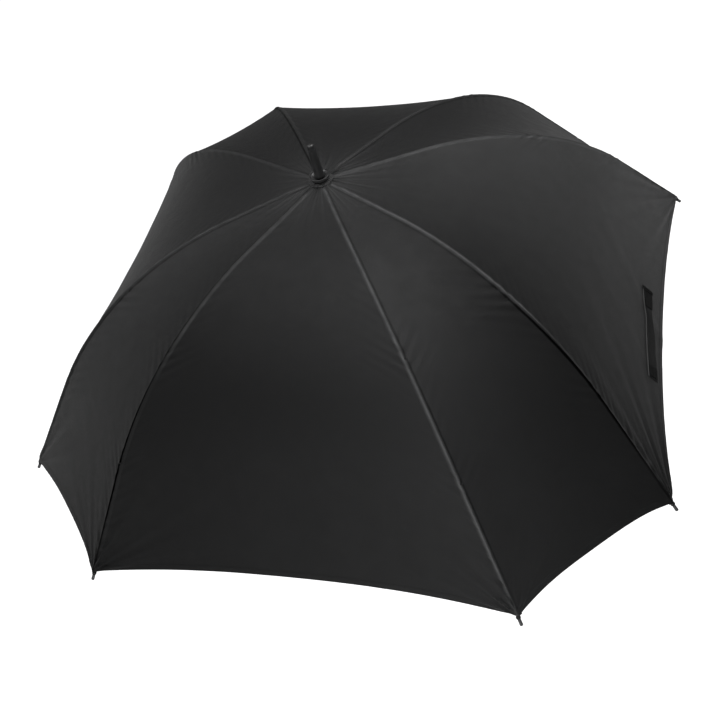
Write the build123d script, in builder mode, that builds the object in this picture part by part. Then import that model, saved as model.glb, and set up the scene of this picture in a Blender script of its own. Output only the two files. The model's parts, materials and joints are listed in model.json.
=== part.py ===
"""Square golf umbrella with eight ribs in four corner pairs, shown open and ready to use.

Frame: +Z runs up the shaft and the origin is in the middle of the hand grip.
The wide side panels face +X, +Y, -X and -Y, and the narrow panels face the corners between them.
Rib n and rib n + 1 hold panel n, so panel 8 lies between ribs 8 and 1 and faces +X.
"""

from build123d import *
import os
from math import atan2, cos, degrees, hypot, radians, sin, tan

# Overall layout (mm)
CROWN_Z = 857.0          # height of the rib pivots above the middle of the grip
PIVOT_R = 14.0           # radius of the wire rings that carry ribs and stretchers
CORNER_HALF = 14.6       # half the angle between the two ribs of a corner pair
SIDE_HALF = 45 - CORNER_HALF
OUTER_TURN = 4.0         # turn of each rod's outer part towards its corner partner, seen from above

# Rib line: a straight run, a bend, and a straight run to the tip
RIB_LENGTH = 750.0       # from the crown pivot to the corner of the cloth
RIB_FLAT = 150.0         # first straight run
RIB_BEND_R = 525.0
SLOPE_TOP = 5.0          # slope below level of the first run, degrees
SLOPE_TIP = 50.0         # slope below level of the last run, degrees
BEND_LENGTH = RIB_BEND_R * radians(SLOPE_TIP - SLOPE_TOP)
ROD_R = 2.0              # fibreglass rib rod

# Stretcher joint and the place where the rod flexes
JOINT_S = 356.0          # along the rib, where the stretcher's saddle sits
JOINT_DROP = 8.0         # from the rod's centre line down to the rivet
FLEX_S = 365.0           # along the rib, where the outer rod begins
FLEX_GAP = 0.3

# Shaft, handle and ferrule
SHAFT_R = 7.0
SHAFT_BORE_R = 5.0
GRIP_R = 16.0
GRIP_HALF = 88.0
GRIP_FLOOR = 14.0        # solid foam under the end of the shaft
COLLAR_HEIGHT = 14.0
FERRULE_BASE = 10.5      # above the rib pivots
FERRULE_TOP = 71.0
FERRULE_SOCKET = 12.0
SHAFT_BOTTOM = GRIP_FLOOR - GRIP_HALF
SHAFT_TOP = CROWN_Z + FERRULE_BASE + FERRULE_SOCKET

# Crown and runner
HUB_R = 11.0
FLANGE_R = 16.5
WIRE_R = 0.75
EYE_R = 2.2
EYE_HOLE_R = 0.95
EYE_THICK = 3.0
SLOT_WIDTH = 3.6
SLOT_REACH = 2.7         # slot wall beyond the pivot, on its closed side
SLOT_FLOOR_R = 11.3
RUNNER_BORE_R = 7.3
RUNNER_LENGTH = 48.0     # below the stretcher pivots

# Catches
CATCH_THICK = 2.4
CATCH_PROUD = 3.0
CATCH_LENGTH = 20.0
CATCH_GAP = 0.4
CATCH_SLOT = 3.0

# Stretcher channel
CHANNEL_WIDTH = 4.4
CHANNEL_DEPTH = 5.0
CHANNEL_WALL = 0.8
CHANNEL_START = 5.0      # from a pivot to the end of the channel
CHANNEL_SOLID = 7.0      # flattened end of the channel

# Cloth
CLOTH_LIFT = 3.0         # underside of the cloth above the rod's centre line
CLOTH_THICK = 0.6
CLOTH_START = 18.3       # distance of the inner edge from the shaft axis
SEAM_GAP = 0.25
HEM_DIP = {"side": 20.0, "corner": 13.0}
STRAP_LENGTH = 188.0
STRAP_WIDTH = 25.0
STRAP_THICK = 1.6
STRAP_CENTRE = (-40.0, 58.0)   # along the hem, and up from the line through the cloth corners
STRAP_TURN = 7.5


def rib_slope(s):
    """Slope below level, in degrees, at arc length s from the crown pivot."""
    turned = degrees(min(max(s - RIB_FLAT, 0), BEND_LENGTH) / RIB_BEND_R)
    return SLOPE_TOP + turned


def rib_point(s, lift=0.0):
    """Radius and height of the rod's centre line at s, moved out along its normal by lift."""
    top, here = radians(SLOPE_TOP), radians(rib_slope(s))
    first = min(s, RIB_FLAT)
    last = max(s - RIB_FLAT - BEND_LENGTH, 0)
    r = PIVOT_R + first * cos(top) + RIB_BEND_R * (sin(here) - sin(top)) + last * cos(here)
    z = CROWN_Z - first * sin(top) - RIB_BEND_R * (cos(top) - cos(here)) - last * sin(here)
    return r + lift * sin(here), z + lift * cos(here)


def rib_plane(s):
    """Plane across the rod at s, with its normal along the rod."""
    r, z = rib_point(s)
    slope = radians(rib_slope(s))
    return Plane(origin=(r, 0, z), x_dir=(0, 1, 0), z_dir=(cos(slope), 0, -sin(slope)))


def rib_side(s):
    """Plane of the rib's side view at s: x along the rod, y out along its normal."""
    r, z = rib_point(s)
    slope = radians(rib_slope(s))
    return Plane(origin=(r, 0, z), x_dir=(cos(slope), 0, -sin(slope)), z_dir=(0, -1, 0))


JOINT_R, JOINT_Z = rib_point(JOINT_S, -JOINT_DROP)
CHORD = hypot(JOINT_R - PIVOT_R, CROWN_Z - JOINT_Z)
CHORD_SLOPE = degrees(atan2(CROWN_Z - JOINT_Z, JOINT_R - PIVOT_R))
RUNNER_Z = 2 * JOINT_Z - CROWN_Z      # the stretcher is as long as the chord, so it mirrors it
CLOSED_ANGLE = 74.0
RUNNER_CLOSED_Z = CROWN_Z - 2 * CHORD * sin(radians(CHORD_SLOPE + CLOSED_ANGLE))
FLEX_R = rib_point(FLEX_S)[0]


def rib_azimuth(n):
    corner = 45 + 90 * ((n - 1) // 2)
    return corner - CORNER_HALF if n % 2 else corner + CORNER_HALF


def write(shape, name):
    shape.label = name
    export_step(shape, f"parts/{name}.step")


def ring_wire(height):
    """Wire ring threaded through the ends of the ribs or stretchers."""
    with BuildPart() as wire:
        with BuildSketch(Plane.XZ):
            with Locations((PIVOT_R, height)):
                Circle(WIRE_R)
        revolve(axis=Axis.Z)
    return wire.part


def slotted_hub(profile, height, slot_low, slot_high):
    """Turned plastic hub with one slot for each rib pair member and a channel for the wire."""
    with BuildPart() as hub:
        with BuildSketch(Plane.XZ):
            with BuildLine():
                Polyline(*profile, close=True)
            make_face()
        revolve(axis=Axis.Z)
        with BuildSketch(Plane.XY.offset(slot_low)):
            for n in range(1, 9):
                reach = FLANGE_R + 2 - SLOT_FLOOR_R
                with PolarLocations(SLOT_FLOOR_R + reach / 2, 1, rib_azimuth(n)):
                    Rectangle(reach, SLOT_WIDTH)
        extrude(amount=slot_high - slot_low, mode=Mode.SUBTRACT)
        with BuildSketch(Plane.XZ):
            with Locations((PIVOT_R, height)):
                Circle(WIRE_R + 0.1)
        revolve(axis=Axis.Z, mode=Mode.SUBTRACT)
    return hub.part


def crown():
    """Fixed hub at the top of the shaft that holds the eight ribs."""
    z = CROWN_Z
    profile = [
        (SHAFT_R, z - 14), (HUB_R - 1, z - 14), (HUB_R, z - 13), (HUB_R, z - 3),
        (FLANGE_R, z - 3), (FLANGE_R, z + 3.8), (FLANGE_R - 1, z + 4.8),
        (9.5, z + 4.8), (9.5, z + 6.4), (SHAFT_R, z + 6.4),
    ]
    return slotted_hub(profile, z, z - 3.5, z + SLOT_REACH)


def runner():
    """Sliding hub that carries the stretchers, with a thumb rim at its foot."""
    z = RUNNER_Z
    foot = z - RUNNER_LENGTH
    profile = [
        (RUNNER_BORE_R, foot), (12.5, foot), (13.5, foot + 1), (13.5, foot + 6),
        (HUB_R, foot + 10), (HUB_R, z - 5), (FLANGE_R - 1, z - 5), (FLANGE_R, z - 4),
        (FLANGE_R, z + 3), (RUNNER_BORE_R, z + 3),
    ]
    return slotted_hub(profile, z, z - SLOT_REACH, z + 3.5)


def shaft():
    """Fibreglass tube with a slot for each catch."""
    with BuildPart() as tube:
        with BuildSketch(Plane.XY.offset(SHAFT_BOTTOM)):
            Circle(SHAFT_R)
            Circle(SHAFT_BORE_R, mode=Mode.SUBTRACT)
        extrude(amount=SHAFT_TOP - SHAFT_BOTTOM)
        for low in (TOP_CATCH_LOW, BOTTOM_CATCH_LOW):
            with BuildSketch(Plane.XZ):
                with Locations((0, low + CATCH_LENGTH / 2)):
                    SlotOverall(CATCH_LENGTH + 5, CATCH_SLOT, rotation=90)
            extrude(amount=SHAFT_R + 1, mode=Mode.SUBTRACT)
    return tube.part


TOP_CATCH_LOW = RUNNER_Z - RUNNER_LENGTH - CATCH_GAP - CATCH_LENGTH
BOTTOM_CATCH_LOW = RUNNER_CLOSED_Z + 3 + CATCH_GAP


def catch(low, ledge_up):
    """Spring blade in the shaft's -Y slot: a square ledge at one end and a ramp to the other."""
    ledge = low + CATCH_LENGTH if ledge_up else low
    ramp = low if ledge_up else low + CATCH_LENGTH
    inner = -2.0
    with BuildPart() as blade:
        with BuildSketch(Plane.YZ):
            with BuildLine():
                Polyline(
                    (inner, ledge), (-SHAFT_R - CATCH_PROUD, ledge),
                    (-SHAFT_R - CATCH_PROUD, ledge + (ramp - ledge) * 0.15),
                    (-SHAFT_R + 0.5, ramp), (inner, ramp), close=True,
                )
            make_face()
        extrude(amount=CATCH_THICK / 2, both=True)
    return blade.part


def ferrule():
    """Tapered plastic spike on the top of the shaft."""
    base, top = CROWN_Z + FERRULE_BASE, CROWN_Z + FERRULE_TOP
    with BuildPart() as spike:
        with BuildSketch(Plane.XZ):
            with BuildLine():
                Polyline((0, base), (8.2, base), (8.2, base + 2), (5.2, top - 2))
                RadiusArc((5.2, top - 2), (3.4, top), -2.1)
                Polyline((3.4, top), (0, top), (0, base))
            make_face()
        revolve(axis=Axis.Z)
        with BuildSketch(Plane.XY.offset(base)):
            Circle(SHAFT_R)
        extrude(amount=FERRULE_SOCKET, mode=Mode.SUBTRACT)
    return spike.part


def canopy_cup():
    """Dish between the cloth and the ferrule, whose foot stands in it."""
    z, floor, rim = CROWN_Z + 6.4, CROWN_Z + FERRULE_BASE, CROWN_Z + 14.0
    with BuildPart() as cup:
        with BuildSketch(Plane.XZ):
            with BuildLine():
                Line((SHAFT_R, z), (11, z))
                ThreePointArc((11, z), (15, z + 2.2), (16.4, rim - 0.3))
                Line((16.4, rim - 0.3), (15.2, rim))
                ThreePointArc((15.2, rim), (13.4, floor + 1.1), (10, floor))
                Polyline((10, floor), (SHAFT_R, floor), (SHAFT_R, z))
            make_face()
        revolve(axis=Axis.Z)
    return cup.part


def handle_grip():
    """Straight foam grip with a rounded butt."""
    with BuildPart() as grip:
        with BuildSketch(Plane.XY.offset(-GRIP_HALF)):
            Circle(GRIP_R)
        extrude(amount=2 * GRIP_HALF)
        fillet(grip.edges().filter_by(GeomType.CIRCLE).group_by(Axis.Z)[0], radius=8)
        fillet(grip.edges().filter_by(GeomType.CIRCLE).group_by(Axis.Z)[-1], radius=1.5)
        with BuildSketch(Plane.XY.offset(SHAFT_BOTTOM)):
            Circle(SHAFT_R)
        extrude(amount=2 * GRIP_HALF, mode=Mode.SUBTRACT)
    return grip.part


def handle_collar():
    """Tapered plastic ring that closes the top of the grip."""
    with BuildPart() as collar:
        with BuildSketch(Plane.XZ):
            with BuildLine():
                Polyline((SHAFT_R, GRIP_HALF), (14.3, GRIP_HALF), (14.3, GRIP_HALF + 4))
                ThreePointArc(
                    (14.3, GRIP_HALF + 4), (12.4, GRIP_HALF + 9), (9, GRIP_HALF + COLLAR_HEIGHT)
                )
                Polyline(
                    (9, GRIP_HALF + COLLAR_HEIGHT), (SHAFT_R, GRIP_HALF + COLLAR_HEIGHT),
                    (SHAFT_R, GRIP_HALF),
                )
            make_face()
        revolve(axis=Axis.Z)
    return collar.part


def rod(start, end):
    """Round rod along the rib line, with an arc where the line bends."""
    bend = max(start, RIB_FLAT), min(end, RIB_FLAT + BEND_LENGTH)
    with BuildPart() as bar:
        with BuildLine(Plane.XZ) as path:
            if start < bend[0]:
                Line(rib_point(start), rib_point(bend[0]))
            ThreePointArc(rib_point(bend[0]), rib_point(sum(bend) / 2), rib_point(bend[1]))
            if end > bend[1]:
                Line(rib_point(bend[1]), rib_point(end))
        with BuildSketch(rib_plane(start)):
            Circle(ROD_R)
        sweep(path=path.line)
    return bar.part


def rib_eye():
    """Metal end of the rib: a flat eye on the crown wire and a sleeve round the rod."""
    sleeve_start, rod_start, sleeve_end = 4.6, 8.0, 18.0
    with BuildPart() as eye:
        with BuildSketch(rib_side(0)):
            Circle(EYE_R)
            with Locations((sleeve_start / 2 + 0.5, 0)):
                Rectangle(sleeve_start + 1, 2 * EYE_R - 0.8)
        extrude(amount=EYE_THICK / 2, both=True)
        with BuildSketch(rib_plane(sleeve_start)):
            Circle(ROD_R + 0.5)
        extrude(amount=sleeve_end - sleeve_start)
        with BuildSketch(rib_plane(rod_start)):
            Circle(ROD_R)
        extrude(amount=sleeve_end - rod_start + 1, mode=Mode.SUBTRACT)
        with BuildSketch(rib_side(0)):
            Circle(EYE_HOLE_R)
        extrude(amount=EYE_THICK, both=True, mode=Mode.SUBTRACT)
    return eye.part


def saddle():
    """Clamp under the rod, with two cheeks for the stretcher's end."""
    half_length, cheek_r, top, bridge = 5.0, 3.0, 1.0, -3.6
    outer, slot = 3.1, 1.9
    with BuildPart() as clamp:
        with BuildSketch(rib_side(JOINT_S)):
            with BuildLine():
                Polyline(
                    (-half_length, top), (-half_length, bridge), (-cheek_r, -JOINT_DROP)
                )
                ThreePointArc(
                    (-cheek_r, -JOINT_DROP), (0, -JOINT_DROP - cheek_r), (cheek_r, -JOINT_DROP)
                )
                Polyline(
                    (cheek_r, -JOINT_DROP), (half_length, bridge), (half_length, top),
                    (-half_length, top),
                )
            make_face()
        extrude(amount=outer, both=True)
        with BuildSketch(rib_side(JOINT_S)):
            with Locations((0, bridge - 8)):
                Rectangle(4 * half_length, 16)
        extrude(amount=slot, both=True, mode=Mode.SUBTRACT)
        with BuildSketch(rib_plane(JOINT_S - half_length - 1)):
            Circle(ROD_R)
            with Locations((0, 3)):
                Rectangle(2 * ROD_R, 6)
        extrude(amount=2 * half_length + 2, mode=Mode.SUBTRACT)
        with BuildSketch(rib_side(JOINT_S)):
            with Locations((0, -JOINT_DROP)):
                Circle(RIVET_R)
        extrude(amount=2 * outer, both=True, mode=Mode.SUBTRACT)
    return clamp.part


RIVET_R = 1.0


def rivet():
    """Rivet through the saddle's cheeks and the stretcher's end."""
    with BuildPart() as pin:
        with BuildSketch(rib_side(JOINT_S)):
            with Locations((0, -JOINT_DROP)):
                Circle(RIVET_R)
        extrude(amount=3.1, both=True)
        for side in (1, -1):
            with BuildSketch(rib_side(JOINT_S).offset(side * 3.1)):
                with Locations((0, -JOINT_DROP)):
                    Circle(1.7)
            extrude(amount=side * 0.6)
    return pin.part


def rib_tip():
    """Rounded plastic sleeve on the end of the rod, just past the corner of the cloth."""
    start, rod_end, length, radius = 0.6, 12.0, 17.0, 3.6
    with BuildPart() as cap:
        with BuildSketch(rib_plane(RIB_LENGTH + start)):
            Circle(radius)
        extrude(amount=length - start)
        fillet(cap.edges().filter_by(GeomType.CIRCLE).sort_by(Axis.Z)[0], radius=3)
        with BuildSketch(rib_plane(RIB_LENGTH)):
            Circle(ROD_R)
        extrude(amount=rod_end, mode=Mode.SUBTRACT)
    return cap.part


def outer_rod():
    """Outer part of the rod, with a ball where it meets the inner part."""
    with BuildPart() as bar:
        add(rod(FLEX_S, RIB_LENGTH + 12.0))
        with Locations(rib_side(FLEX_S).origin):
            Sphere(ROD_R)
    return bar.part


def stretcher():
    """Steel channel from the runner to the saddle, with a flat eye at each end."""
    slope = radians(CHORD_SLOPE)
    side = Plane(origin=(PIVOT_R, 0, RUNNER_Z), x_dir=(cos(slope), 0, sin(slope)), z_dir=(0, -1, 0))
    neck = CHANNEL_START + 2
    with BuildPart() as arm:
        for at, hole in ((0, EYE_HOLE_R), (CHORD, RIVET_R + 0.05)):
            inward = 1 if at == 0 else -1
            with BuildSketch(side):
                with Locations((at, 0)):
                    Circle(EYE_R)
                with Locations((at + inward * neck / 2, 0)):
                    Rectangle(neck, 2 * EYE_R - 0.8)
            extrude(amount=EYE_THICK / 2, both=True)
            with BuildSketch(side):
                with Locations((at, 0)):
                    Circle(hole)
            extrude(amount=EYE_THICK, both=True, mode=Mode.SUBTRACT)
        with BuildSketch(side):
            with Locations((CHORD / 2, 0)):
                Rectangle(CHORD - 2 * CHANNEL_START, CHANNEL_DEPTH)
        extrude(amount=CHANNEL_WIDTH / 2, both=True)
        with BuildSketch(side):
            with Locations((CHORD / 2, -CHANNEL_WALL)):
                Rectangle(CHORD - 2 * (CHANNEL_START + CHANNEL_SOLID), CHANNEL_DEPTH)
        extrude(amount=CHANNEL_WIDTH / 2 - CHANNEL_WALL, both=True, mode=Mode.SUBTRACT)
    return arm.part


def outer_angle(half_angle):
    """Angle from a panel's middle line to its edges beyond the flex, which lean to the corners."""
    return half_angle - OUTER_TURN if half_angle == CORNER_HALF else half_angle + OUTER_TURN


def panel_edge(s, half_angle, lift):
    """Edge of a panel at s, in the panel's own directions: out, across and up."""
    r, z = rib_point(s, lift)
    inner, outer = radians(half_angle), radians(outer_angle(half_angle))
    flex_r = rib_point(FLEX_S, lift)[0]
    near, beyond = min(r, flex_r), max(r - flex_r, 0)
    return near * cos(inner) + beyond * cos(outer), near * sin(inner) + beyond * sin(outer), z


def panel_points(start, end, half_angle, lift, count=9):
    """Points of a panel's middle line, which is the chord between its two ribs."""
    along = [start + (end - start) * i / (count - 1) for i in range(count)]
    return [(out, up) for out, across, up in (panel_edge(s, half_angle, lift) for s in along)]


def canopy_panel(half_angle, start, end):
    """Cloth between two ribs: straight from rib to rib and curved along them."""
    low = panel_points(start, end, half_angle, CLOTH_LIFT)
    high = panel_points(start, end, half_angle, CLOTH_LIFT + CLOTH_THICK)
    reach = RIB_LENGTH * sin(radians(half_angle))
    far = RIB_LENGTH
    inner, side = radians(half_angle), radians(half_angle)
    if start > FLEX_S:
        side = radians(outer_angle(half_angle))
    apex = FLEX_R * (cos(inner) - sin(inner) / tan(side)) + SEAM_GAP / sin(side)
    with BuildPart() as cloth:
        with BuildSketch(Plane.XZ):
            with BuildLine():
                Spline(*low)
                Line(low[-1], high[-1])
                Spline(*high)
                Line(high[0], low[0])
            make_face()
        extrude(amount=reach, both=True)
        with BuildSketch(Plane.XY.offset(CROWN_Z - RIB_LENGTH)):
            with BuildLine():
                half = (far - apex) * tan(side)
                Polyline((apex, 0), (far, half), (far, -half), close=True)
            make_face()
        extrude(amount=2 * RIB_LENGTH, mode=Mode.INTERSECT)
    return cloth.part


def hem_side(half_angle):
    """Plane on the outer face of a panel's straight hem run: x along the hem, y up the slope."""
    edge = panel_points(RIB_LENGTH - 10, RIB_LENGTH, half_angle, CLOTH_LIFT + CLOTH_THICK, 2)
    rise, back = edge[0][1] - edge[1][1], edge[0][0] - edge[1][0]
    up = hypot(rise, back)
    origin = (edge[1][0], 0, edge[1][1])
    return Plane(origin=origin, x_dir=(0, 1, 0), z_dir=(rise / up, 0, -back / up))


def cut_hem(cloth, half_angle, dip):
    """Outer cloth with its hem drawn in between the two cloth corners."""
    half = panel_edge(RIB_LENGTH, half_angle, CLOTH_LIFT)[1]
    with BuildPart() as panel:
        add(cloth)
        with BuildSketch(hem_side(half_angle)):
            with BuildLine():
                ThreePointArc((-half, 0), (0, dip), (half, 0))
                Polyline((half, 0), (half, -dip), (-half, -dip), (-half, 0))
            make_face()
        extrude(amount=40, both=True, mode=Mode.SUBTRACT)
    return panel.part


def tie_strap():
    """Fastening strap lying on the +X side panel beside its hem."""
    base = hem_side(SIDE_HALF).offset(0.4)
    with BuildPart() as strap:
        with BuildSketch(base):
            with Locations(STRAP_CENTRE):
                Rectangle(STRAP_LENGTH, STRAP_WIDTH, rotation=STRAP_TURN)
        extrude(amount=STRAP_THICK)
    return strap.part


def build():
    os.makedirs("parts", exist_ok=True)
    for name, shape in (
        ("shaft", shaft()), ("crown", crown()), ("crown_ring", ring_wire(CROWN_Z)),
        ("runner", runner()), ("runner_ring", ring_wire(RUNNER_Z)),
        ("ferrule", ferrule()), ("canopy_cup", canopy_cup()),
        ("handle_grip", handle_grip()), ("handle_collar", handle_collar()),
        ("top_catch", catch(TOP_CATCH_LOW, True)), ("bottom_catch", catch(BOTTOM_CATCH_LOW, False)),
        ("tie_strap", tie_strap()),
    ):
        write(shape, name)

    inner_pieces = rib_eye(), rod(8.0, FLEX_S - ROD_R - FLEX_GAP), saddle(), rivet()
    outer_pieces = {"rib_outer": outer_rod(), "rib_tip": rib_tip()}
    arm = stretcher()
    upright = Axis((FLEX_R, 0, 0), (0, 0, 1))
    for n in range(1, 9):
        turn = rib_azimuth(n)
        lean = OUTER_TURN if n % 2 else -OUTER_TURN
        write(Compound(children=[p.rotate(Axis.Z, turn) for p in inner_pieces]), f"rib_inner_{n}")
        for kind, shape in outer_pieces.items():
            write(shape.rotate(upright, lean).rotate(Axis.Z, turn), f"{kind}_{n}")
        write(arm.rotate(Axis.Z, turn), f"stretcher_{n}")

    start = {"side": CLOTH_START / cos(radians(SIDE_HALF)), "corner": CLOTH_START / cos(radians(CORNER_HALF))}
    for place, half_angle in (("corner", CORNER_HALF), ("side", SIDE_HALF)):
        inner = canopy_panel(half_angle, start[place] - PIVOT_R, FLEX_S - SEAM_GAP)
        outer = canopy_panel(half_angle, FLEX_S + SEAM_GAP, RIB_LENGTH)
        outer = cut_hem(outer, half_angle, HEM_DIP[place])
        for n in range(1 if place == "corner" else 2, 9, 2):
            write(inner.rotate(Axis.Z, 45 * n), f"canopy_inner_{n}")
            write(outer.rotate(Axis.Z, 45 * n), f"canopy_outer_{n}")

    print(f"chord {CHORD:.2f} slope {CHORD_SLOPE:.3f} runner {RUNNER_Z:.2f} closed {RUNNER_CLOSED_Z:.2f}")


build()
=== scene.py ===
"""Black square golf umbrella, seen from above: cloth canopy, ribs, ferrule, handle and tie strap."""
import json
from math import atan2, cos, hypot, pi, radians, sin

import bmesh
import bpy
import numpy as np
from mathutils import Matrix, Vector


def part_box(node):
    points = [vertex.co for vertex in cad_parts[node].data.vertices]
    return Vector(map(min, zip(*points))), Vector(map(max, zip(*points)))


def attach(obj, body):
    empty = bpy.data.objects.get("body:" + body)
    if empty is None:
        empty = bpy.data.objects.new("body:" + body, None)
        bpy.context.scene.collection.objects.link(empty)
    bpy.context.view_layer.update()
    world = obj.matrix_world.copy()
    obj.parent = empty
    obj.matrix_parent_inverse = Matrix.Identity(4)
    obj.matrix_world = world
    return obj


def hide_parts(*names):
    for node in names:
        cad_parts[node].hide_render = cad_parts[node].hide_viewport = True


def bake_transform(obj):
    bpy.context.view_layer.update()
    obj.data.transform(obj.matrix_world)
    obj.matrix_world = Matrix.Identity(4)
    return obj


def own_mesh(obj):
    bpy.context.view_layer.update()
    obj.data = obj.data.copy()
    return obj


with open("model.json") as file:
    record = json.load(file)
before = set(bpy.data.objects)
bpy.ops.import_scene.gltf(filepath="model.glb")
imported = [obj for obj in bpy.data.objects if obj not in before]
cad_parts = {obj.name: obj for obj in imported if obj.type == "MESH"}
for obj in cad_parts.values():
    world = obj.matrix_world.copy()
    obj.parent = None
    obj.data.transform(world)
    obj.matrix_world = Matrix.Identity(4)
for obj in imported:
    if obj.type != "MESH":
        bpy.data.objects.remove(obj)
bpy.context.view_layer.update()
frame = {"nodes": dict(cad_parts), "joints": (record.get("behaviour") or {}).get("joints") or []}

# ---------------------------------------------------------------- sizes, in metres
JOINTS = {j["name"]: j for j in frame["joints"]}
CROWN_R = hypot(*JOINTS["rib_1_fold"]["pos_m"][:2])
CROWN_Z = JOINTS["rib_1_fold"]["pos_m"][2]
RIB_AZIMUTH = {
    n: atan2(JOINTS[f"rib_{n}_fold"]["pos_m"][1], JOINTS[f"rib_{n}_fold"]["pos_m"][0])
    for n in range(1, 9)
}
RIB_LENGTH, RIB_FLAT, BEND_R = 0.750, 0.150, 0.525     # whole rib, its straight top and the bend's radius
SLOPE_TOP, SLOPE_TIP = radians(5), radians(50)
BEND_LENGTH = BEND_R * (SLOPE_TIP - SLOPE_TOP)
FLEX_S = 0.365                      # where the inner and outer parts of a rib and of a panel meet
TIE_S = (0.356, 0.544)              # thread ties that hold the cloth to the ribs
CLOTH_LIFT = 0.0036                 # outside of the cloth above the rod's centre line
CLOTH_THICK = 0.0004
WEAVE = 0.0005                      # from one thread of the canopy's weave to the next but one
CLOTH_START_R = 0.0172              # hole in the cloth round the shaft
ROD_R = 0.00203
CORNER_HALF = radians(15.75)        # half the angle between a corner pair of ribs, at the crown
CORNER_CLOSES = radians(2.90)       # how much the tight cloth has drawn a pair together at the tips
LEAN = radians(4.0)                 # of a rod's outer part towards its corner, seen from above
HEM_BAND = 0.009                    # folded hem
HEM_LIFT = 0.0005                   # outside of the folded hem above the cloth

# painted light and shade: a scale on the cloth's colour, sheen and gloss at each panel's first rib, middle and
# second rib
# the panels are one cloth: these are tuned by grey level for the camera's view, so they paint in some of its
# light and shade
PANEL_PAINTED_LIGHT = {
    1: (1.45, 1.05, 0.95), 2: (0.85, 0.75, 0.75), 3: (0.75, 0.72, 0.72), 4: (0.95, 1.05, 1.10),
    5: (1.50, 0.98, 0.68), 6: (0.82, 1.08, 1.65), 7: (1.55, 1.20, 0.82), 8: (0.60, 1.20, 1.80),
}
# painted light at the crown as well, stronger on the panels listed last
CROWN_PAINTED_LIGHT, CROWN_PAINTED_LIGHT_PALER, PANELS_PAINTED_PALER = 1.08, 1.30, (5, 7, 8)      # the same at the crown

# welt over a rib: millimetres from the rib towards the wide panel, and how much painted highlight on the crest
# and painted shade in the fold the cloth gets there
WELT_FROM, WELT_TO = -7.0, 8.0
WELT_CREST_HIGHLIGHT = ((-2.0, 0.0), (-0.3, 0.4), (1.0, 1.0), (2.6, 1.0), (4.4, 0.35), (7.0, 0.0))
WELT_FOLD_SHADE = ((-6.0, 0.0), (-4.4, 0.7), (-3.8, 1.0), (-2.4, 1.0), (-1.2, 0.0))
# for each rib, tuned in the same way: strength of the crest's painted highlight, where along the rib it ends,
# strength of the fold's painted shade, and how many millimetres the crest and the fold sit nearer to the wide
# panel
CREST_HIGHLIGHT_SHARE = {1: 0.47, 2: 0.24, 3: 0.08, 4: 0.19, 5: 0.42, 6: 0.42, 7: 0.80, 8: 1.0}
CREST_HIGHLIGHT_ENDS = {1: 0.60, 2: 0.50, 3: 0.60, 4: 0.60, 5: 0.36, 6: 0.36, 7: 0.72, 8: 0.40}
FOLD_SHADE_SHARE = {1: 0.05, 2: 0.45, 3: 0.85, 4: 0.50, 5: 0.62, 6: 1.0, 7: 0.42, 8: 0.95}
FOLD_SHADE_BEFORE, FOLD_SHADE_BEFORE_USUAL = {6: 0.45, 8: 0.30}, 0.75      # share of the fold's strength above half way
WELT_SHIFT = {1: 2.0, 2: -2.0, 4: 1.6, 5: -1.2, 6: 2.2, 8: -2.0}
WELT_SHIFT_GROWS = {6: 0.9, 8: -2.2}                            # by the tip, as a share of the shift


def rib_rz(s, lift=0.0):
    """Radius and height on the rib line at arc length s, moved out along its normal."""
    s = np.asarray(s, float)
    here = SLOPE_TOP + np.clip(s - RIB_FLAT, 0, BEND_LENGTH) / BEND_R
    first, last = np.minimum(s, RIB_FLAT), np.maximum(s - RIB_FLAT - BEND_LENGTH, 0)
    r = CROWN_R + first * cos(SLOPE_TOP) + BEND_R * (np.sin(here) - sin(SLOPE_TOP)) + last * np.cos(here)
    z = CROWN_Z - first * sin(SLOPE_TOP) - BEND_R * (cos(SLOPE_TOP) - np.cos(here)) - last * np.sin(here)
    return r + lift * np.sin(here), z + lift * np.cos(here), here


def corner_angle(s):
    """Angle in plan from a corner's diagonal to its ribs: the tight cloth draws a pair together."""
    return CORNER_HALF - CORNER_CLOSES * np.asarray(s, float) / RIB_LENGTH


def rib_turn(n, s):
    """Azimuth of the cloth's line over rib n at arc length s."""
    corner = pi / 4 + pi / 2 * ((n - 1) // 2)
    return corner - corner_angle(s) if n % 2 else corner + corner_angle(s)


def half_angle(n, s):
    """Half the angle in plan between the ribs beside panel n; odd panels are the narrow ones."""
    return corner_angle(s) if n % 2 else pi / 4 - corner_angle(s)


def rod_xy(n, s):
    """Plan position of the rod itself: radial to the flex, then straight with its lean."""
    r = rib_rz(s)[0]
    flex = float(rib_rz(FLEX_S)[0])
    turn = RIB_AZIMUTH[n]
    lean = turn + (LEAN if n % 2 else -LEAN)
    near, beyond = np.minimum(r, flex), np.maximum(r - flex, 0)
    return near * cos(turn) + beyond * cos(lean), near * sin(turn) + beyond * sin(lean)


def smooth(x):
    """Soft step from 0 to 1."""
    x = np.clip(x, 0, 1)
    return x * x * (3 - 2 * x)


# ---------------------------------------------------------------- camera, light and floor
def make_camera():
    """View from high on the -Y side, turned a little towards +X, with some roll."""
    azimuth, elevation, roll = radians(26.194), radians(46.624), radians(-18.308)
    distance, lens, sensor = 2.011 * RIB_LENGTH, 47.37, 36.0    # lens and sensor in millimetres
    shift = Vector((0.0834, -0.3833)) * RIB_LENGTH      # camera's sideways and upward offset
    back = Vector((sin(azimuth) * cos(elevation), -cos(azimuth) * cos(elevation), sin(elevation)))
    right = (-back).cross(Vector((0, 0, 1))).normalized()
    up = right.cross(-back)
    right, up = right * cos(roll) + up * sin(roll), -right * sin(roll) + up * cos(roll)
    camera = bpy.data.objects.new("camera", bpy.data.cameras.new("camera"))
    bpy.context.scene.collection.objects.link(camera)
    apex = Vector((0, 0, CROWN_Z + CLOTH_LIFT))
    camera.matrix_world = Matrix.Translation(apex + back * distance + right * shift.x + up * shift.y) \
        @ Matrix((right, up, back)).transposed().to_4x4()
    camera.data.sensor_width, camera.data.lens = sensor, lens
    bpy.context.scene.camera = camera


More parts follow.
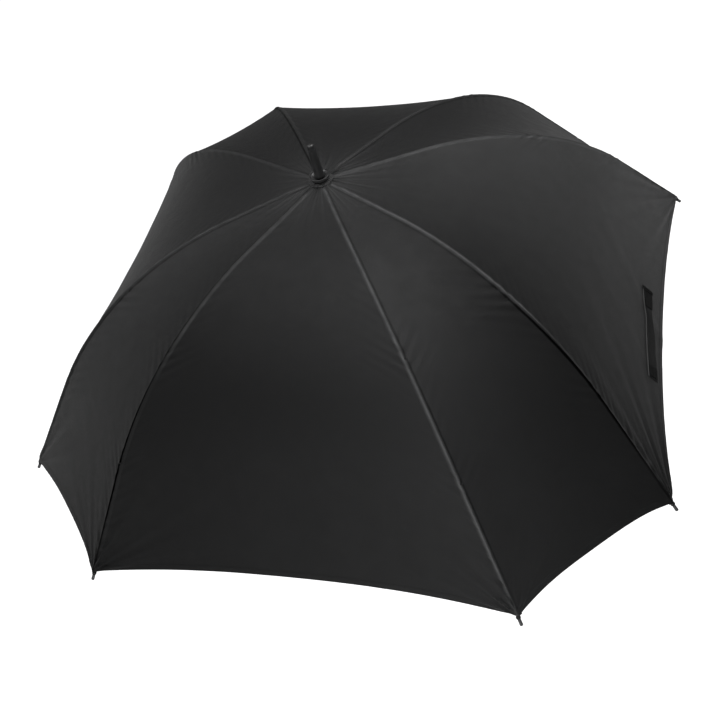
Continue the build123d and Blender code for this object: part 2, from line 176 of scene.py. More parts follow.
LIGHT_AWAY = 3.6
LIGHTS = (      # azimuth, elevation and power
    ("high_back", 60, 62, 41),
    ("high_right", 0, 62, 14),
    ("high_left", 180, 62, 30),
    ("low_front", 270, 12, 20),
    ("low_back", 45, 12, 5),
    ("low_left", 180, 12, 3),
    ("behind", 120, 62, 2),
)


def area_light(name, azimuth, elevation, power):
    """Soft round light aimed at the canopy from LIGHT_AWAY; angles in degrees."""
    light = bpy.data.objects.new(name, bpy.data.lights.new(name, "AREA"))
    light.data.shape, light.data.size, light.data.energy = "DISK", 2.0, power
    bpy.context.scene.collection.objects.link(light)
    a, e = radians(azimuth), radians(elevation)
    away = Vector((cos(a) * cos(e), sin(a) * cos(e), sin(e)))
    light.location = Vector((0, 0, CROWN_Z - 0.2)) + LIGHT_AWAY * away
    light.rotation_mode = "QUATERNION"
    light.rotation_quaternion = away.to_track_quat("Z", "Y")


def make_stage():
    """Faint white surroundings, pale floor and the soft lights."""
    world = bpy.data.worlds.new("studio")
    bpy.context.scene.world = world
    world.use_nodes = True
    background = world.node_tree.nodes["Background"]
    background.inputs["Color"].default_value = (1, 1, 1, 1)
    background.inputs["Strength"].default_value = 0.1
    bpy.context.scene.view_settings.view_transform = "Standard"
    mesh = bpy.data.meshes.new("floor")
    half, drop = 30.0, 1.25
    corners = [(x * half, y * half, -drop) for x, y in ((-1, -1), (1, -1), (1, 1), (-1, 1))]
    mesh.from_pydata(corners, [], [(0, 1, 2, 3)])
    floor = bpy.data.objects.new("floor", mesh)
    bpy.context.scene.collection.objects.link(floor)
    pale = bpy.data.materials.new("floor")
    pale.use_nodes = True
    shader = pale.node_tree.nodes["Principled BSDF"]
    shader.inputs["Base Color"].default_value = (0.9, 0.9, 0.9, 1)
    shader.inputs["Roughness"].default_value = 0.9
    shader.inputs["Emission Color"].default_value = (1, 1, 1, 1)
    shader.inputs["Emission Strength"].default_value = 0.92
    mesh.materials.append(pale)
    floor.visible_glossy = False        # the white floor gives soft light from below but no mirror image
    for light in LIGHTS:
        area_light(*light)


# ---------------------------------------------------------------- materials
def new_material(name):
    """A material with its nodes, links and shader."""
    material = bpy.data.materials.new(name)
    material.use_nodes = True
    tree = material.node_tree
    return material, tree.nodes, tree.links, tree.nodes["Principled BSDF"]


def node(nodes, kind, **values):
    """A new shader node with some of its settings."""
    made = nodes.new(kind)
    for key, value in values.items():
        setattr(made, key, value)
    return made


def math_node(nodes, links, operation, a, b=None):
    """Math node whose inputs are numbers or sockets."""
    made = node(nodes, "ShaderNodeMath", operation=operation)
    for i, value in enumerate((a, b)):
        if value is None:
            continue
        if isinstance(value, (int, float)):
            made.inputs[i].default_value = value
        else:
            links.new(value, made.inputs[i])
    return made.outputs[0]


def noise(nodes, links, vector, scale, detail=3.0, rough=0.55):
    """Noise with scale waves to the metre."""
    made = node(nodes, "ShaderNodeTexNoise")
    made.inputs["Scale"].default_value = scale
    made.inputs["Detail"].default_value = detail
    made.inputs["Roughness"].default_value = rough
    links.new(vector, made.inputs["Vector"])
    return made.outputs[0]


def spread(nodes, links, value, low, high, from_low=0.3, from_high=0.7):
    """Stretch a value from one range to another."""
    made = node(nodes, "ShaderNodeMapRange")
    made.inputs["From Min"].default_value, made.inputs["From Max"].default_value = from_low, from_high
    made.inputs["To Min"].default_value, made.inputs["To Max"].default_value = low, high
    links.new(value, made.inputs["Value"])
    return made.outputs[0]


def mix_colour(nodes, links, share, a, b):
    """Mix of two colours, each of which is a tuple or a socket."""
    made = node(nodes, "ShaderNodeMix", data_type="RGBA")
    links.new(share, made.inputs["Factor"])
    for k, value in ((6, a), (7, b)):
        if isinstance(value, tuple):
            made.inputs[k].default_value = (*value, 1)
        else:
            links.new(value, made.inputs[k])
    return made.outputs[2]


def bump(nodes, links, height, distance, strength=1.0, normal=None):
    """Relief of the given depth in metres, on top of another normal where there is one."""
    made = node(nodes, "ShaderNodeBump")
    made.inputs["Distance"].default_value, made.inputs["Strength"].default_value = distance, strength
    links.new(height, made.inputs["Height"])
    if normal is not None:
        links.new(normal, made.inputs["Normal"])
    return made.outputs[0]


def cloth_material(name, dark, light, thread, roughness, sheen=0.2, depth=0.00006, gloss=0.30, painted_light=False):
    """Plain weave: threads follow the attribute "cloth", whose X and Y are metres across and along.

    With the last argument set, the attribute of the same name scales the colour, the sheen and the gloss:
    painted light and shade.
    """
    material, nodes, links, shader = new_material(name)
    where = node(nodes, "ShaderNodeAttribute", attribute_name="cloth").outputs["Vector"]
    split = node(nodes, "ShaderNodeSeparateXYZ")
    links.new(where, split.inputs[0])
    waves = []
    for axis in ("X", "Y"):
        turn = math_node(nodes, links, "MULTIPLY", split.outputs[axis], 2 * pi / thread)
        waves.append(math_node(nodes, links, "SINE", turn))
    weave = math_node(nodes, links, "MULTIPLY", waves[0], waves[1])
    place = node(nodes, "ShaderNodeTexCoord").outputs["Object"]
    slub = noise(nodes, links, place, 900.0, 2.0)
    broad = noise(nodes, links, place, 7.0, 4.0)
    crease = noise(nodes, links, place, 38.0, 5.0, 0.6)
    colour = mix_colour(nodes, links, spread(nodes, links, broad, 0, 1), dark, light)
    # painted light and shade: the attribute scales the colour, and below the sheen and the gloss
    if painted_light:
        share = node(nodes, "ShaderNodeAttribute", attribute_name="painted_light").outputs["Fac"]
        scaled = node(nodes, "ShaderNodeVectorMath", operation="SCALE")
        links.new(colour, scaled.inputs[0])
        links.new(share, scaled.inputs["Scale"])
        colour = scaled.outputs[0]
    links.new(spread(nodes, links, crease, roughness - 0.05, roughness + 0.07), shader.inputs["Roughness"])
    links.new(colour, shader.inputs["Base Color"])
    shader.inputs["Sheen Roughness"].default_value = 0.45
    for socket, value in (("Sheen Weight", sheen), ("Specular IOR Level", gloss)):
        if painted_light:
            links.new(math_node(nodes, links, "MULTIPLY", share, value), shader.inputs[socket])
        else:
            shader.inputs[socket].default_value = value
    soft = bump(nodes, links, crease, 0.0009, 0.35)
    fine = bump(nodes, links, slub, depth * 0.6, 0.5, soft)
    links.new(bump(nodes, links, weave, depth, 0.6, fine), shader.inputs["Normal"])
    return material


# near-black colour of the painted shade in a welt's fold
FOLD_PAINTED_SHADE = (0.0004, 0.0004, 0.0004)


def seam_material(name, dark, light, pale):
    """Cloth folded over a rib: painted highlight along the welt's crest and painted shade down in the fold
    beside it.

    "cloth" Z is metres from the rib towards the wide panel.
    "fold" X says how strong the crest's painted highlight is, and its Y how strong the fold's painted shade
    is.
    """
    material = cloth_material(name, dark, light, WEAVE, roughness=0.48, sheen=0.13, painted_light=True)
    nodes, links = material.node_tree.nodes, material.node_tree.links
    shader = nodes["Principled BSDF"]
    colour = shader.inputs["Base Color"].links[0].from_socket
    split, strength = node(nodes, "ShaderNodeSeparateXYZ"), node(nodes, "ShaderNodeSeparateXYZ")
    links.new(node(nodes, "ShaderNodeAttribute", attribute_name="cloth").outputs["Vector"], split.inputs[0])
    links.new(node(nodes, "ShaderNodeAttribute", attribute_name="fold").outputs["Vector"], strength.inputs[0])
    where = spread(nodes, links, split.outputs["Z"], 0, 1, 0.001 * WELT_FROM, 0.001 * WELT_TO)
    place = node(nodes, "ShaderNodeTexCoord").outputs["Object"]
    patchy = spread(nodes, links, noise(nodes, links, place, 55.0, 3.0), 0.75, 1.25)
    shares = []
    for axis, stops in (("X", WELT_CREST_HIGHLIGHT), ("Y", WELT_FOLD_SHADE)):
        ramp = node(nodes, "ShaderNodeValToRGB")
        ramp.color_ramp.interpolation = "EASE"
        for k, (millimetres, value) in enumerate(stops):
            at = (millimetres - WELT_FROM) / (WELT_TO - WELT_FROM)
            stop = ramp.color_ramp.elements[k] if k < 2 else ramp.color_ramp.elements.new(at)
            stop.position, stop.color = at, (value, value, value, 1)
        links.new(where, ramp.inputs[0])
        share = math_node(nodes, links, "MULTIPLY", ramp.outputs[0], strength.outputs[axis])
        shares.append(share)
    # painted highlight along the crest
    crest_highlight = math_node(nodes, links, "MULTIPLY", shares[0], patchy)
    colour = mix_colour(nodes, links, crest_highlight, colour, pale)
    # painted shade in the fold, where the gloss and the sheen are taken away too
    colour = mix_colour(nodes, links, shares[1], colour, FOLD_PAINTED_SHADE)
    links.new(colour, shader.inputs["Base Color"])
    open_share = math_node(nodes, links, "SUBTRACT", 1.0, shares[1])
    for socket in ("Specular IOR Level", "Sheen Weight"):
        value = shader.inputs[socket].links[0].from_socket
        links.new(math_node(nodes, links, "MULTIPLY", open_share, value), shader.inputs[socket])
    return material


def plastic_material(name, colour, roughness, grain=700.0, depth=0.00004, coat=0.0, wear=0.04):
    """Moulded plastic: fine grain, faint handling marks and a slightly paler worn tone in patches."""
    material, nodes, links, shader = new_material(name)
    place = node(nodes, "ShaderNodeTexCoord").outputs["Object"]
    broad = noise(nodes, links, place, 45.0, 4.0)
    fine = noise(nodes, links, place, grain, 3.0)
    paler = tuple(c + wear * (0.4 + c) for c in colour)
    worn = spread(nodes, links, broad, 0, 1, 0.45, 0.8)
    links.new(mix_colour(nodes, links, worn, colour, paler), shader.inputs["Base Color"])
    links.new(spread(nodes, links, broad, roughness - 0.06, roughness + 0.08), shader.inputs["Roughness"])
    shader.inputs["Coat Weight"].default_value = coat
    links.new(bump(nodes, links, fine, depth, 0.6), shader.inputs["Normal"])
    return material


def metal_material(name, colour, roughness, brushed=(900.0, 900.0, 40.0)):
    """Metal with fine drawn lines."""
    material, nodes, links, shader = new_material(name)
    place = node(nodes, "ShaderNodeTexCoord").outputs["Object"]
    scale = node(nodes, "ShaderNodeMapping")
    scale.inputs["Scale"].default_value = brushed
    links.new(place, scale.inputs["Vector"])
    lines = noise(nodes, links, scale.outputs[0], 1.0, 2.0)
    stain = noise(nodes, links, place, 60.0, 3.0)
    darker = tuple(0.7 * c for c in colour)
    stained = spread(nodes, links, stain, 0, 1)
    links.new(mix_colour(nodes, links, stained, colour, darker), shader.inputs["Base Color"])
    shader.inputs["Metallic"].default_value = 1.0
    links.new(spread(nodes, links, lines, roughness - 0.06, roughness + 0.1), shader.inputs["Roughness"])
    links.new(bump(nodes, links, lines, 0.00002, 0.5), shader.inputs["Normal"])
    return material


# ---------------------------------------------------------------- mesh helpers
def mesh_object(name, points, faces, material, cloth=None):
    """Smooth mesh; cloth holds each point's metres across and along the weave."""
    mesh = bpy.data.meshes.new(name)
    mesh.from_pydata([tuple(p) for p in points], [], faces)
    mesh.materials.append(material)
    mesh.polygons.foreach_set("use_smooth", [True] * len(mesh.polygons))
    if cloth is not None:
        point_values(mesh, "cloth", cloth, "vector")
    made = bpy.data.objects.new(name, mesh)
    bpy.context.scene.collection.objects.link(made)
    return made


def point_values(mesh, name, values, kind="value"):
    """Give a mesh an attribute: for each point a number, or with kind "vector" a vector."""
    attribute = mesh.attributes.new(name, {"value": "FLOAT", "vector": "FLOAT_VECTOR"}[kind], "POINT")
    attribute.data.foreach_set(kind, np.asarray(values, np.float32).ravel())


def sheet_object(name, points, material, cloth, flip=False):
    """Mesh of a grid of points."""
    faces = grid_faces(*points.shape[:2], flip=flip)
    return mesh_object(name, points.reshape(-1, 3), faces, material, cloth.reshape(-1, 3))


def grid_faces(rows, columns, flip=False):
    """Quads of a grid of points, row by row."""
    faces = []
    for i in range(rows - 1):
        for j in range(columns - 1):
            a = i * columns + j
            quad = (a, a + 1, a + columns + 1, a + columns)
            faces.append(quad[::-1] if flip else quad)
    return faces


def solidify(obj, thickness, offset=-1.0):
    """Give a sheet its thickness, with crisp cut edges, so that the halves of a panel meet unseen."""
    layer = obj.modifiers.new("thickness", "SOLIDIFY")
    layer.thickness, layer.offset = thickness, offset
    whole = bpy.data.meshes.new_from_object(obj.evaluated_get(bpy.context.evaluated_depsgraph_get()))
    obj.modifiers.clear()
    obj.data = whole
    whole.set_sharp_from_angle(angle=radians(50))


# ---------------------------------------------------------------- canopy
SAG_TRIM = {2: -0.012, 3: -0.025, 4: -0.018}        # the back and left panels are drawn tighter
HEM_TRIM = {2: 0.88, 8: 0.82}                       # share of the usual dip of the hem
BODY_ENDS = 0.0115                                  # evenly spaced rows stop here, before the hem
HEM_ROWS = (HEM_BAND + 0.0012, HEM_BAND, HEM_BAND - 0.0008, 0.0065, 0.0045, 0.0028, 0.0012, 0.0004, 0.0)


def sag_share(s, n):
    """How far the cloth of panel n dips between its ribs, as a share of half its width."""
    x = s / RIB_LENGTH
    usual = 0.018 + 0.2257 * x - 0.2243 * x * x if n % 2 else 0.058 + 0.0033 * x - 0.0139 * x * x
    return usual + SAG_TRIM.get(n, 0.0) * smooth(x / 0.4)


def hem_s(u, n):
    """Arc length of panel n's hem at u, which runs from -1 at one rib to 1 at the other."""
    u = np.abs(u)
    dip = 0.0186 * (1 - u ** 3.26) if n % 2 else 0.026 * (1 - u ** 2.68)
    return RIB_LENGTH * (1 - dip * HEM_TRIM.get(n, 1.0))


def wrinkles(n, u, s, half_width):
    """Height in metres of puckers at the crown, along the seams and by the tips and ties."""
    local = np.random.default_rng(100 + n)
    distance = {-1: (1 + u) * half_width, 1: (1 - u) * half_width}
    height = np.zeros_like(s)
    # gathers that fan out from the crown
    fade = np.exp(-s / 0.075) * smooth(s / 0.012)
    for k in range(11):
        at, width, size = local.uniform(-0.95, 0.95), local.uniform(0.035, 0.10), local.uniform(-0.9, 1.2)
        height += 0.0011 * size * fade * np.exp(-(((u - at) / width) ** 2))
    # short slanting puckers along each seam, strongest by the tip and by the ties
    for side in (-1, 1):
        d = distance[side]
        near = np.exp(-d / 0.022) * (1 - np.exp(-d / 0.004))
        slant = local.uniform(0.6, 1.1)
        phase = local.uniform(0, 6)
        for wave, size, start in ((0.019, 0.9, 0.50), (0.031, 1.2, 0.56), (0.013, 0.5, 0.62)):
            along = s + slant * d + 0.004 * np.sin(s / 0.05 + phase)
            ripple = np.sin(2 * pi * along / wave + phase * wave * 40)
            height += (0.0004 if n % 2 else 0.0007) * size * near * ripple * smooth((s - start) / 0.12)
        for tie in TIE_S:
            pull = np.exp(-(((s - tie) / 0.030) ** 2)) * np.exp(-d / 0.030)
            height += 0.0009 * pull * np.sin(2 * pi * (s - tie + 0.8 * d) / 0.022 + side)
        height += 0.00035 * near * np.sin(2 * pi * (s + d) / 0.027 + phase) * smooth((s - 0.03) / 0.05)
    # long pulls from the tips towards the middle of the hem
    reach = RIB_LENGTH - s
    for side in (-1, 1):
        d = distance[side]
        angle = np.arctan2(reach + 0.002, d + 0.002)
        radius = np.hypot(reach, d)
        fan = (0.6 if n % 2 else 1.5) * np.exp(-radius / 0.12) * smooth(radius / 0.02)
        height += 0.0011 * fan * np.sin(angle * 15 + local.uniform(0, 6))
        height += 0.0007 * fan * np.sin(angle * 27 + local.uniform(0, 6))
    # soft creases that cross the lower half of the wide panels
    if n % 2 == 0:
        low = smooth((s - 0.45) / 0.15) * (1 - np.abs(u) ** 4)
        for k in range(5):
            at, slope, wide = local.uniform(-0.8, 0.8), local.uniform(-0.9, 0.9), local.uniform(0.006, 0.014)
            away = u * half_width - at * 0.30 - slope * (s - 0.62)
            height += local.uniform(0.00025, 0.0005) * low * np.exp(-((away / wide) ** 2))
    return height


def panel_surface(n, u, s):
    """Outside of the cloth of panel n at u and s, with its dip and wrinkles."""
    middle = pi / 4 * n
    half = half_angle(n, s)
    r, z, slope = rib_rz(s, CLOTH_LIFT)
    out = np.array([cos(middle), sin(middle), 0.0])
    across = np.array([-sin(middle), cos(middle), 0.0])
    half_width = r * np.sin(half)
    distance = (1 - np.abs(u)) * half_width
    dip = half_width * sag_share(s, n) * (1 - u * u)
    dip = dip - wrinkles(n, u, s, half_width)
    x = r * np.cos(half) - dip * np.sin(slope)
    y = u * half_width
    height = z - dip * np.cos(slope)
    points = x[..., None] * out + y[..., None] * across
    points[..., 2] = height
    return points, y, distance


def painted_panel_light(n, u, s):
    """Painted light and shade of panel n at u and s: a scale on its colour, sheen and gloss, with a painted
    glow near the crown.
    """
    low, middle, high = PANEL_PAINTED_LIGHT[n]
    value = middle + (high - low) / 2 * u + ((high + low) / 2 - middle) * u * u
    near = CROWN_PAINTED_LIGHT_PALER if n in PANELS_PAINTED_PALER else CROWN_PAINTED_LIGHT
    # painted glow round the crown, uneven across the panel
    uneven = 0.55 + 0.45 * np.sin(21 * u + 2.2 * n) * np.cos(7 * u + n)
    painted_crown_glow = 0.85 * np.exp(-((s / 0.062) ** 2)) * uneven
    return (near + (value - near) * smooth(s / 0.40)) * (1 + painted_crown_glow)


def spaced_u(count):
    """Positions from -1 to 1 across a panel, closer together towards the ribs."""
    t = np.linspace(-1, 1, count)
    return 0.45 * t + 0.55 * np.sin(pi * t / 2)


def canopy_panel(n, part, material):
    """One half of a panel, from the crown to the flex or from the flex to the hem."""
    middle, wide = pi / 4 * n, n % 2 == 0
    columns = 97 if wide else 57
    u = spaced_u(columns)
    if part == "inner":
        first = (CLOTH_START_R / cos(half_angle(n, 0)) - CROWN_R) / cos(SLOPE_TOP)
        t = np.linspace(0, 1, 78) ** 1.25
        s = np.repeat((first + (FLEX_S - first) * t)[:, None], columns, 1)
        edge = np.full_like(s, 1.0)
    else:
        hem = hem_s(u, n)
        body = np.linspace(0, 1, 92)
        s = FLEX_S + (hem - BODY_ENDS - FLEX_S)[None, :] * body[:, None]
        rows = [s]
        for back in HEM_ROWS:
            rows.append((hem - back)[None, :])
        s = np.concatenate(rows, 0)
        edge = hem[None, :] - s
    uu = np.repeat(u[None, :], len(s), 0)
    points, y, distance = panel_surface(n, uu, s)
    if part == "outer":
        band = HEM_LIFT * (edge < HEM_BAND + 1e-6) * (1 - 0.8 * (edge < 0.0003))
        slope = rib_rz(s)[2]
        out = np.array([cos(middle), sin(middle)])
        lift = band * (1 + 0.25 * np.sin(y / 0.0016))
        points[..., 0] += lift * np.sin(slope) * out[0]
        points[..., 1] += lift * np.sin(slope) * out[1]
        points[..., 2] += lift * np.cos(slope)
    cloth = np.stack([y, s, distance], -1)
    made = sheet_object(f"canopy_{part}_panel_{n}", points, material, cloth, flip=True)
    # painted light and shade, carried to the material
    point_values(made.data, "painted_light", painted_panel_light(n, uu, s))
    solidify(made, CLOTH_THICK)
    return made, wide, middle


def make_canopy(material):
    """Eight panels, each in two halves that ride on their own bodies."""
    for n in range(1, 9):
        for part in ("inner", "outer"):
            made, wide, middle = canopy_panel(n, part, material)
            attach(made, f"canopy_{part}_{n}")
            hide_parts(f"canopy_{part}_{n}")
            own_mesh(made)


# ---------------------------------------------------------------- seams and ties
# welt's height over the cloth by its distance from the rib, outermost first, in millimetres
CREASE = (
    (6.6, 0.0), (5.6, 0.08), (4.6, 0.12), (3.6, 0.12), (2.8, 0.14),
    (2.2, 0.35), (1.7, 0.75), (1.2, 1.12), (0.6, 1.38),
)
SHOULDER = (
    (7.4, 0.0), (6.2, 0.10), (5.2, 0.26), (4.3, 0.52),
    (3.5, 0.84), (2.7, 1.12), (1.8, 1.34), (0.8, 1.48),
)
WELT_TOP = 1.52
WELT_CLEAR = 0.00004                # keeps the welt's edge just above the panel, in metres
SEAM_THICK = 0.0003


def seam_surface(n, part):
    """Welt over rib n: rounded, with a crease on the narrow panel's side and a shoulder on the wide one's.

    Returns its grid of points and, for each point, the attributes "cloth", "fold" (strength of the painted
    highlight on the crest and of the painted shade in the fold) and the panels' painted light and shade.
    """
    ends = (0.010, FLEX_S) if part == "inner" else (FLEX_S, RIB_LENGTH - 0.0002)
    s = np.linspace(*ends, int((ends[1] - ends[0]) / 0.0026))
    local = np.random.default_rng(300 + n)
    phase = local.uniform(0, 6, 4)
    wobble = 1 + 0.06 * np.sin(s / 0.017 + phase[0]) + 0.04 * np.sin(s / 0.0061 + phase[1])
    rough = 0.36 * np.sin(s / 0.0041 + phase[2]) + 0.22 * np.sin(s / 0.0089 + phase[3])
    lumps = 1 + np.exp(-s / 0.075) * rough
    pinch = sum(np.exp(-(((s - tie) / 0.0016) ** 2)) for tie in TIE_S)
    tapers = smooth((s - 0.010) / 0.022) * (1 - 0.35 * smooth((s - 0.60) / 0.15))
    scale = wobble * lumps * (1 - 0.8 * pinch) * tapers
    azimuth = rib_turn(n, s)
    normal = rib_rz(s)[2]
    out = np.stack([np.sin(normal) * np.cos(azimuth), np.sin(normal) * np.sin(azimuth), np.cos(normal)], -1)
    columns, across, wards, painted_light = [], [], [], []
    for panel, side in (((n - 2) % 8 + 1, 1), (n, -1)):
        profile = CREASE if panel % 2 else SHOULDER
        for t, height in (profile if side == 1 else profile[::-1]):
            half_width = rib_rz(s, CLOTH_LIFT)[0] * np.sin(half_angle(panel, s))
            t = np.minimum(0.001 * t, 0.85 * half_width)
            u = side * (1 - t / half_width)
            points = panel_surface(panel, u, s)[0]
            painted_light.append(painted_panel_light(panel, u, s))
            columns.append(points + out * (0.001 * height * scale + WELT_CLEAR)[:, None])
            across.append(-side * t)
            wards.append(-t if panel % 2 else t)
        if side == 1:
            r, z, _ = rib_rz(s, CLOTH_LIFT)
            points = np.stack([r * np.cos(azimuth), r * np.sin(azimuth), z], -1)
            columns.append(points + out * (0.001 * WELT_TOP * scale + WELT_CLEAR)[:, None])
            across.append(0 * s)
            wards.append(0 * s)
            painted_light.append(painted_light[-1])
    grid = np.stack(columns, 1)
    along = np.repeat(s[:, None], grid.shape[1], 1)
    cloth = np.stack([np.stack(across, 1), along, np.stack(wards, 1)], -1)
    # painted highlight on the crest and painted shade in the fold, rib by rib
    crest_highlight = CREST_HIGHLIGHT_SHARE[n] * (0.55 + 0.45 * smooth(along / 0.16)) * np.clip(lumps, 0.5, 1.5)[:, None]
    crest_highlight *= 1 - 0.9 * smooth((along - CREST_HIGHLIGHT_ENDS[n] + 0.06) / 0.12)
    before = FOLD_SHADE_BEFORE.get(n, FOLD_SHADE_BEFORE_USUAL)
    fold = FOLD_SHADE_SHARE[n] * (before + (1 - before) * smooth((along - 0.28) / 0.16))
    fold *= 1 - 0.4 * smooth((along - 0.6) / 0.12)
    shift = WELT_SHIFT.get(n, 0.0) * (1 + WELT_SHIFT_GROWS.get(n, 0.0) * smooth((along - 0.30) / 0.28))
    cloth[..., 2] -= 0.001 * shift
    return grid, cloth, np.stack([crest_highlight, fold, 0 * along], -1), np.stack(painted_light, 1)


def make_seams(material):
    """Each rib's welt, in two halves that bend with it."""
    for n in range(1, 9):
        for part, body in (("inner", f"rib_{n}"), ("outer", f"rib_end_{n}")):
            grid, cloth, fold, painted_light = seam_surface(n, part)
            seam = sheet_object(f"seam_{part}_{n}", grid, material, cloth, flip=True)
            point_values(seam.data, "fold", fold, "vector")
            point_values(seam.data, "painted_light", painted_light)
            solidify(seam, SEAM_THICK)
            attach(seam, body)


def tube_points(path, radius, sides=10):
    """Rings of points round a path of three or more points."""
    path = np.asarray(path, float)
    along = np.gradient(path, axis=0)
    along /= np.linalg.norm(along, axis=1)[:, None]
    start = np.cross(along[0], (0, 0, 1) if abs(along[0][2]) < 0.9 else (1, 0, 0))
    rings, side = [], start / np.linalg.norm(start)
    turn = np.linspace(0, 2 * pi, sides, endpoint=False)
    for p, t in zip(path, along):
        side = side - t * side.dot(t)
        side /= np.linalg.norm(side)
        other = np.cross(t, side)
        rings.append(p + radius * (np.cos(turn)[:, None] * side + np.sin(turn)[:, None] * other))
    return np.array(rings)


def tube(name, path, radius, material, sides=10):
    """Closed tube along a path, with flat ends."""
    rings = tube_points(path, radius, sides)
    count = len(rings)
    faces = []
    for i in range(count - 1):
        for j in range(sides):
            k = (j + 1) % sides
            faces.append((i * sides + j, i * sides + k, (i + 1) * sides + k, (i + 1) * sides + j))
    faces.append(tuple(range(sides))[::-1])
    faces.append(tuple((count - 1) * sides + j for j in range(sides)))
    return mesh_object(name, rings.reshape(-1, 3), faces, material)


def join(name, parts):
    """One object from several, which all sit at the origin."""
    for o in bpy.context.selected_objects:
        o.select_set(False)
    for o in parts:
        o.select_set(True)
    bpy.context.view_layer.objects.active = parts[0]
    bpy.ops.object.join()
    parts[0].name = name
    return parts[0]


TIE_HALF, TIE_PITCH, THREAD_R = 0.0034, 0.0007, 0.00036


def make_ties(material):
    """Three turns of thread across each seam."""
    for n in range(1, 9):
        for k, tie in enumerate(TIE_S, 1):
            azimuth = float(rib_turn(n, tie))
            sideways = np.array([-sin(azimuth), cos(azimuth), 0])
            r, z, slope = rib_rz(tie, CLOTH_LIFT)
            out = np.array([sin(slope) * cos(azimuth), sin(slope) * sin(azimuth), cos(slope)])
            along = np.array([cos(slope) * cos(azimuth), cos(slope) * sin(azimuth), -sin(slope)])
            centre = np.array([r * cos(azimuth), r * sin(azimuth), z])
            turns = []
            for i in range(3):
                t = np.linspace(-1, 1, 9)
                path = centre + along * TIE_PITCH * (i - 1) + np.outer(t, sideways) * TIE_HALF
                path += np.outer(0.0009 - 0.0022 * t * t, out) + np.outer(0.0003 * t * (i - 1), along)
                turns.append(tube(f"turn_{n}_{k}_{i}", path, THREAD_R, material, 6))
            tie_object = join(f"thread_tie_{n}_{k}", turns)
            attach(tie_object, f"rib_{n}" if tie < FLEX_S else f"rib_end_{n}")


# ---------------------------------------------------------------- turned parts
def lathe(name, profile, material, origin=(0, 0, 0), axis=(0, 0, 1), segments=64, round_angle=40):
    """Closed turned solid: profile is (radius, height along the axis) from one end to the other."""
    axis = Vector(axis).normalized()
    turn = axis.to_track_quat("Z", "Y").to_matrix()
    bm = bmesh.new()
    rings = []
    for r, h in profile:
        ring = []
        for k in range(segments if r > 1e-7 else 1):
            a = 2 * pi * k / segments
            ring.append(bm.verts.new(turn @ Vector((r * cos(a), r * sin(a), h)) + Vector(origin)))
        rings.append(ring)
    for lower, upper in zip(rings, rings[1:]):
        for k in range(segments):
            m = (k + 1) % segments
            around = ((lower, k), (lower, m), (upper, m), (upper, k))
            corners = list(dict.fromkeys(ring[i % len(ring)] for ring, i in around))
            if len(corners) > 2:
                bm.faces.new(corners)
    bmesh.ops.recalc_face_normals(bm, faces=bm.faces)
    mesh = bpy.data.meshes.new(name)
    bm.to_mesh(mesh)
    bm.free()
    mesh.materials.append(material)
    mesh.polygons.foreach_set("use_smooth", [True] * len(mesh.polygons))
    mesh.set_sharp_from_angle(angle=radians(round_angle))
    made = bpy.data.objects.new(name, mesh)
    bpy.context.scene.collection.objects.link(made)
    return made


def arc(centre, radius, start, end, count=8):
    """Profile points on an arc, angles in degrees from the radius axis."""
    return [
        (centre[0] + radius * cos(radians(a)), centre[1] + radius * sin(radians(a)))
        for a in np.linspace(start, end, count)
    ]


def place(obj, body, slot, *nodes):
    """Let a piece ride on a body and hide the CAD nodes that it stands for; slot is not used."""
    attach(obj, body)
    if nodes:
        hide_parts(*nodes)
    return obj


def make_ferrule(material, pale):
    """Tapered spike with a groove near its end, and a pale disc let into the flat end."""
    low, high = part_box("ferrule")
    z0, z1 = low.z, high.z
    base_r, top_r, recess_r, disc_r = high.x, 0.0058, 0.0041, 0.0040
    straight, neck = 0.002, z1 - 0.0075

    def taper(z):
        return base_r + (top_r - base_r) * (z - z0 - straight) / (z1 - z0 - 2 * straight)

    groove_r = taper(neck) - 0.00045
    profile = [(0.0, z0 + 0.0002), (base_r - 0.0008, z0 + 0.0002)]
    profile += [(base_r, z0 + 0.0008), (base_r, z0 + straight)]
    profile += [(taper(z), z) for z in np.linspace(z0 + 0.006, neck - 0.0006, 8)]
    profile += [(groove_r, neck - 0.0002), (groove_r, neck + 0.0003), (taper(neck) + 0.0001, neck + 0.0007)]
    profile += [(taper(z), z) for z in (neck + 0.003, z1 - 0.0022)]
    profile += arc((top_r - 0.0011, z1 - 0.0012), 0.0011, 0, 80, 6)
    profile += [(recess_r, z1 - 0.0002), (recess_r, z1 - 0.0006), (0.0, z1 - 0.0006)]
    place(lathe("ferrule_spike", profile, material), "frame", "ferrule_plastic", "ferrule")
    disc = [(0.0, z1 - 0.0009), (disc_r, z1 - 0.0009), (disc_r, z1 - 0.0005), (0.0035, z1 - 0.0001)]
    disc += [(0.0011, z1 - 0.00005), (0.0009, z1 - 0.0004), (0.0, z1 - 0.0005)]
    place(lathe("ferrule_end_disc", disc, pale), "frame", "ferrule_plastic")


def make_cup(material):
    """Thin dish under the ferrule, with a rolled rim."""
    low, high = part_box("canopy_cup")
    z0, rim_r, rim, floor = low.z, high.x, high.z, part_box("ferrule")[0].z
    profile = [(0.0086, z0 + 0.0002), (0.0110, z0), (0.0131, z0 + 0.0007), (0.0148, z0 + 0.0020)]
    profile += [(0.0157, z0 + 0.0036)]
    profile += arc((rim_r - 0.00055, rim - 0.0005), 0.0005, -10, 180, 9)
    profile += [(0.0151, rim - 0.0013), (0.0146, floor + 0.0016)]
    profile += [(0.0136, floor + 0.0008), (0.0122, floor + 0.0004)]
    profile += [(0.0108, floor + 0.0004), (0.0103, floor), (0.0101, floor - 0.0013), (0.0080, floor - 0.0014)]
    place(lathe("cup_dish", profile, material, segments=96), "frame", "black_plastic", "canopy_cup")


